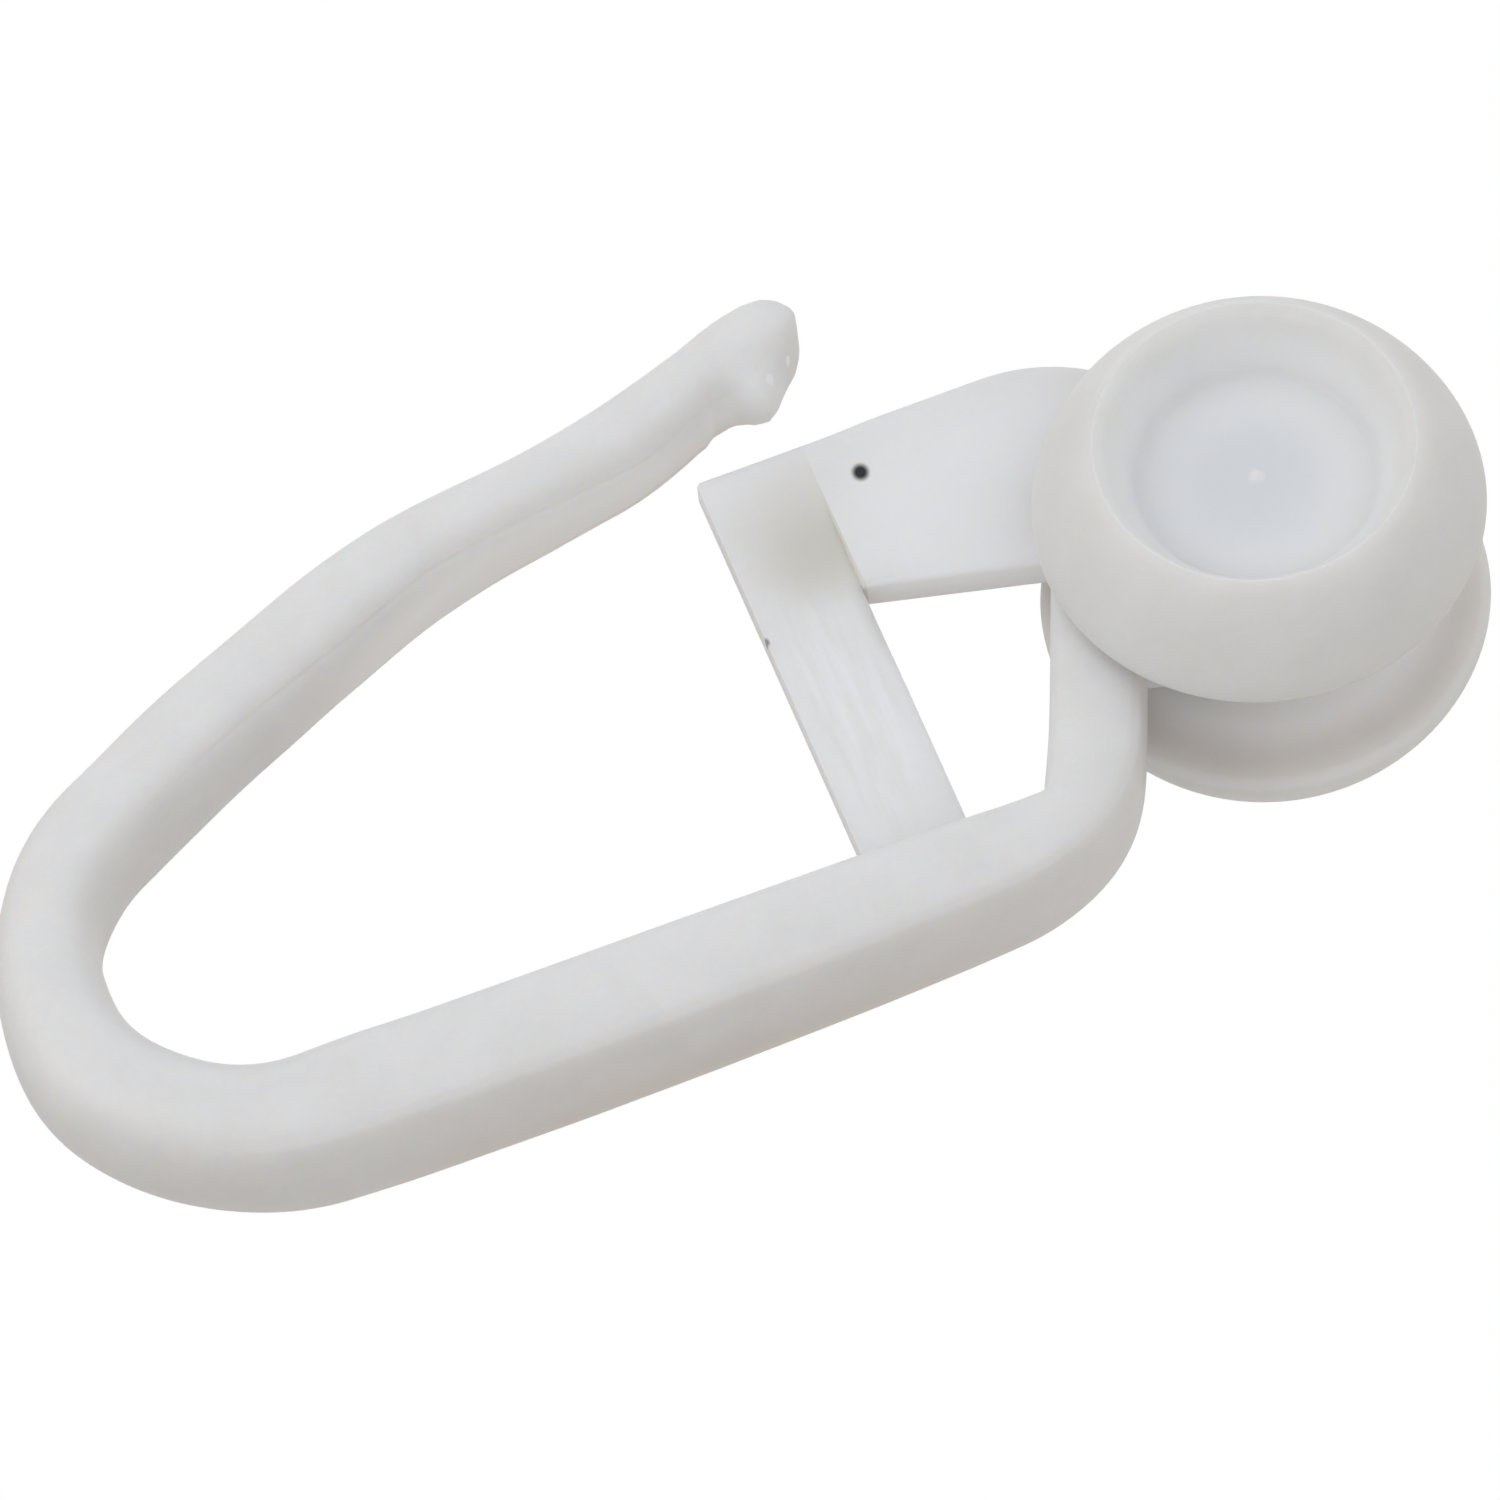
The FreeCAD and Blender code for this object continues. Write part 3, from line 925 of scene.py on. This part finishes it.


# %% [markdown]
# ## Marks on the hook
# The plate and the strip are thin, so they get painted light, as if lit through from behind. The strip's sunk
# end and its edge beside the eyelet get painted shade, and the strip shows faint flow streaks. The barb and
# the prong's inner side get painted light too, with two painted glints at the barb. The arm's outer side gets
# a warm painted shade. Three dark specks are dirt.

# %% Hook marks
soot = (0.01, 0.01, 0.015, 1)
# Painted shade, and also the grey of the real flow streaks.
painted_shade_and_streak_grey = (0.55, 0.55, 0.50, 1)
# Painted light: a lighter colour for places lit through the thin plastic.
painted_glow = (0.90, 0.91, 0.93, 1)
# Painted light and painted glints: the whitest colour.
painted_light_white = (0.98, 0.98, 1.0, 1)
# Painted shade, warm.
painted_warm_shade = (0.70, 0.63, 0.56, 1)
strip_top = -8.60
sink_top = -8.63
# Painted light on the thin plate and strip, as if lit through from behind.
add_mark(hook_plastic, (-3.4, 0, -5.4), (4.6, 3, 4.8), 0.7, painted_glow, 0.75)
add_mark(hook_plastic, (-4.6, 0, -4.0), (1.8, 3, 2.4), 0.9, painted_glow, 0.6)
add_mark(hook_plastic, (0.9, 0, -9.95), (4.4, 3, 2.2), 0.7, painted_glow, 0.95, top=strip_top)
# Painted shade on the strip beside the plate's step, at its sunk end and along the eyelet edge.
add_mark(hook_plastic, (-4.6, 0, -9.4), (2.9, 5, 2.6), 0.9, painted_shade_and_streak_grey, 0.35, top=sink_top)
add_mark(hook_plastic, (-3.7, 0, -9.1), (1.9, 3, 1.9), 0.9, painted_shade_and_streak_grey, 0.55, top=sink_top)
add_mark(hook_plastic, (-1.7, 0, -8.65), (1.9, 3, 0.5), 0.95, painted_shade_and_streak_grey, 0.6, top=strip_top)
add_streaks(hook_plastic, (0.5, 0, -10.0), (5.0, 3, 1.4), painted_shade_and_streak_grey, 0.28)
add_mark(hook_plastic, (-1.95, -0.3, -11.19), (0.16, 0.3, 0.10), 0.7, soot, 0.7)
# Painted light on the barb, and two painted glints on its ridge.
add_mark(hook_plastic, (-7.9, 0, -9.2), (1.3, 1.8, 1.6), 0.8, painted_glow, 0.85)
add_mark(hook_plastic, (-8.63, -0.41, -8.12), (0.13, 0.22, 0.12), 0.5, painted_light_white, 1.0)
add_mark(hook_plastic, (-8.14, -0.71, -8.72), (0.16, 0.22, 0.12), 0.5, painted_light_white, 1.0)
# Painted warm shade on the arm's outer side.
add_mark(hook_plastic, (7.0, 1.8, -16.0), (1.3, 2.4, 12.0), 0.8, painted_warm_shade, 0.5)
# Painted light on the prong's inner side.
add_mark(hook_plastic, (-7.2, 0.6, -16.5), (3.8, 2.1, 11.0), 0.6, painted_light_white, 0.75)
add_mark(hook_plastic, (-6.59, -1.45, -12.22), (0.12, 0.3, 0.30), 0.7, soot, 0.6)
add_mark(hook_plastic, (-5.24, -0.45, -7.66), (0.30, 0.3, 0.26), 0.6, soot, 1.0)
print(hook_plastic.name, len(hook_plastic.node_tree.nodes), "nodes")

# %% [markdown]
# ## Marks on the rollers
# A roller turns, so its marks are round the axis. The faces in the gap get warm painted shade at the rim and
# painted light towards the hub. On the outer face the lip gets painted shade, and the dish and most of all
# the nub get painted light.

# %% Roller marks
# Painted shade for the lips.
painted_grey_shade = (0.62, 0.62, 0.62, 1)
# Painted warm shade on the faces in the gap towards the rim, and painted light towards the hub.
add_mark(roller_plastic, (0, 0, 0), (40, 1.97, 40), 0.15, painted_warm_shade, 0.55)
add_mark(roller_plastic, (0, 0, 0), (5.6, 3.2, 5.6), 0.2, painted_light_white, 0.9)
# On each outer face: painted shade on the lip, painted light in the dish and on the nub.
for side in (-1, 1):
    add_mark(roller_plastic, (0, 4.85 * side, 0), (4.3, 0.5, 4.3), 0.5, painted_grey_shade, 0.95)
    add_mark(roller_plastic, (0, 3.7 * side, 0), (4.3, 1.35, 4.3), 0.5, painted_glow, 0.75)
    add_mark(roller_plastic, (0, 3.3 * side, 0), (0.26, 0.4, 0.26), 0.7, painted_light_white, 0.8)
print(roller_plastic.name, len(roller_plastic.node_tree.nodes), "nodes")

# %% [markdown]
# ## Pieces into the frame
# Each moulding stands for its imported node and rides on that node's body, so the rollers turn when the
# joints do.

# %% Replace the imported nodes
for piece, node, body, slot, material in (
    (hook, "hook_body", "hook", "hook_plastic", hook_plastic),
    (front_roller, "front_roller", "front_wheel", "roller_plastic", roller_plastic),
    (rear_roller, "rear_roller", "rear_wheel", "roller_plastic", roller_plastic),
):
    piece.data.materials.clear()
    piece.data.materials.append(material)
    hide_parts(node)
    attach(piece, body)
    print(piece.name, "stands for", node, "and rides on", body)

# %% [markdown]
# ## The floor
# The glider hangs over a plain pale floor. It lies well below, so that it isn't in the light's way: the
# photograph is lit from its left, and that is from below as the glider hangs.

# %% Floor
floor_z = -350 * MM
floor_size = 3.0
floor_colour = (0.8, 0.8, 0.8, 1)
floor_roughness = 0.9


def make_floor():
    """One square face at the floor's height, with a pale rough material."""
    half = floor_size / 2
    square = ((-half, -half), (half, -half), (half, half), (-half, half))
    mesh = bpy.data.meshes.new("floor")
    mesh.from_pydata([(x, y, floor_z) for x, y in square], [], [(0, 1, 2, 3)])
    floor = bpy.data.objects.new("floor", mesh)
    bpy.context.scene.collection.objects.link(floor)
    material = bpy.data.materials.new("pale_floor")
    material.use_nodes = True
    shader = material.node_tree.nodes["Principled BSDF"]
    shader.inputs["Base Color"].default_value = floor_colour
    shader.inputs["Roughness"].default_value = floor_roughness
    mesh.materials.append(material)
    return floor


floor = make_floor()
print(floor.name, "at", round(floor_z / MM), "mm")

# %% [markdown]
# ## The lamp
# One large square lamp stands in front of the glider and below it. It is two thirds as wide as it is far
# away, which gives the soft, slow shades of a studio.


# %% Lamp
def make_lamp(name, place, size, power):
    """A square soft lamp at a place in millimetres, facing the glider's middle."""
    data = bpy.data.lights.new(name, "AREA")
    data.shape = "SQUARE"
    data.size = size * MM
    data.energy = power
    lamp = bpy.data.objects.new(name, data)
    lamp.location = Vector(place) * MM
    lamp.rotation_mode = "QUATERNION"
    lamp.rotation_quaternion = (camera_aim - lamp.location).to_track_quat("-Z", "Y")
    bpy.context.scene.collection.objects.link(lamp)
    return lamp


lamp = make_lamp("key", place=(-50, -215, -265), size=220, power=0.275)
print(lamp.name, "at", [round(x / MM) for x in lamp.location], "mm")

# %% [markdown]
# ## The surroundings
# To the eye the surroundings are white. As light they are brighter and cooler in front and below, on the
# lamp's side, and dimmer and warmer behind, and that gives the glider its gentle shading.

# %% Surroundings
towards_bright = Vector((-0.12, -0.90, -0.54)).normalized()
bright_light = (0.85, 0.87, 0.90, 1)
dim_light = (0.44, 0.39, 0.335, 1)
border = (-0.8, 0.4)


def make_world():
    """White to the eye, in reflections and through glass. As light, two half-spheres: the bright colour on
    one side and the dim colour on the other, with a smooth step between the border's two cosines."""
    world = bpy.data.worlds.new("studio")
    bpy.context.scene.world = world
    world.use_nodes = True
    tree = world.node_tree
    place = tree.nodes.new("ShaderNodeTexCoord")
    cosine = add_node(tree, "ShaderNodeVectorMath", {1: towards_bright}, operation="DOT_PRODUCT")
    limits = {1: border[0], 2: border[1]}
    share = add_node(tree, "ShaderNodeMapRange", limits, interpolation_type="SMOOTHSTEP")
    light = add_node(tree, "ShaderNodeMix", {6: dim_light, 7: bright_light}, data_type="RGBA")
    path = tree.nodes.new("ShaderNodeLightPath")
    through = add_node(tree, "ShaderNodeMath", operation="MAXIMUM")
    seen = add_node(tree, "ShaderNodeMath", operation="MAXIMUM")
    choose = add_node(tree, "ShaderNodeMix", {7: (1, 1, 1, 1)}, data_type="RGBA")
    tree.links.new(place.outputs["Generated"], cosine.inputs[0])
    tree.links.new(cosine.outputs["Value"], share.inputs["Value"])
    tree.links.new(share.outputs["Result"], light.inputs["Factor"])
    tree.links.new(path.outputs["Is Camera Ray"], through.inputs[0])
    tree.links.new(path.outputs["Is Transmission Ray"], through.inputs[1])
    tree.links.new(through.outputs["Value"], seen.inputs[0])
    tree.links.new(path.outputs["Is Glossy Ray"], seen.inputs[1])
    tree.links.new(seen.outputs["Value"], choose.inputs["Factor"])
    tree.links.new(light.outputs[2], choose.inputs[6])
    tree.links.new(choose.outputs[2], tree.nodes["Background"].inputs["Color"])
    return world


world = make_world()
bpy.context.scene.view_settings.view_transform = "Standard"
print("surroundings", world.name)
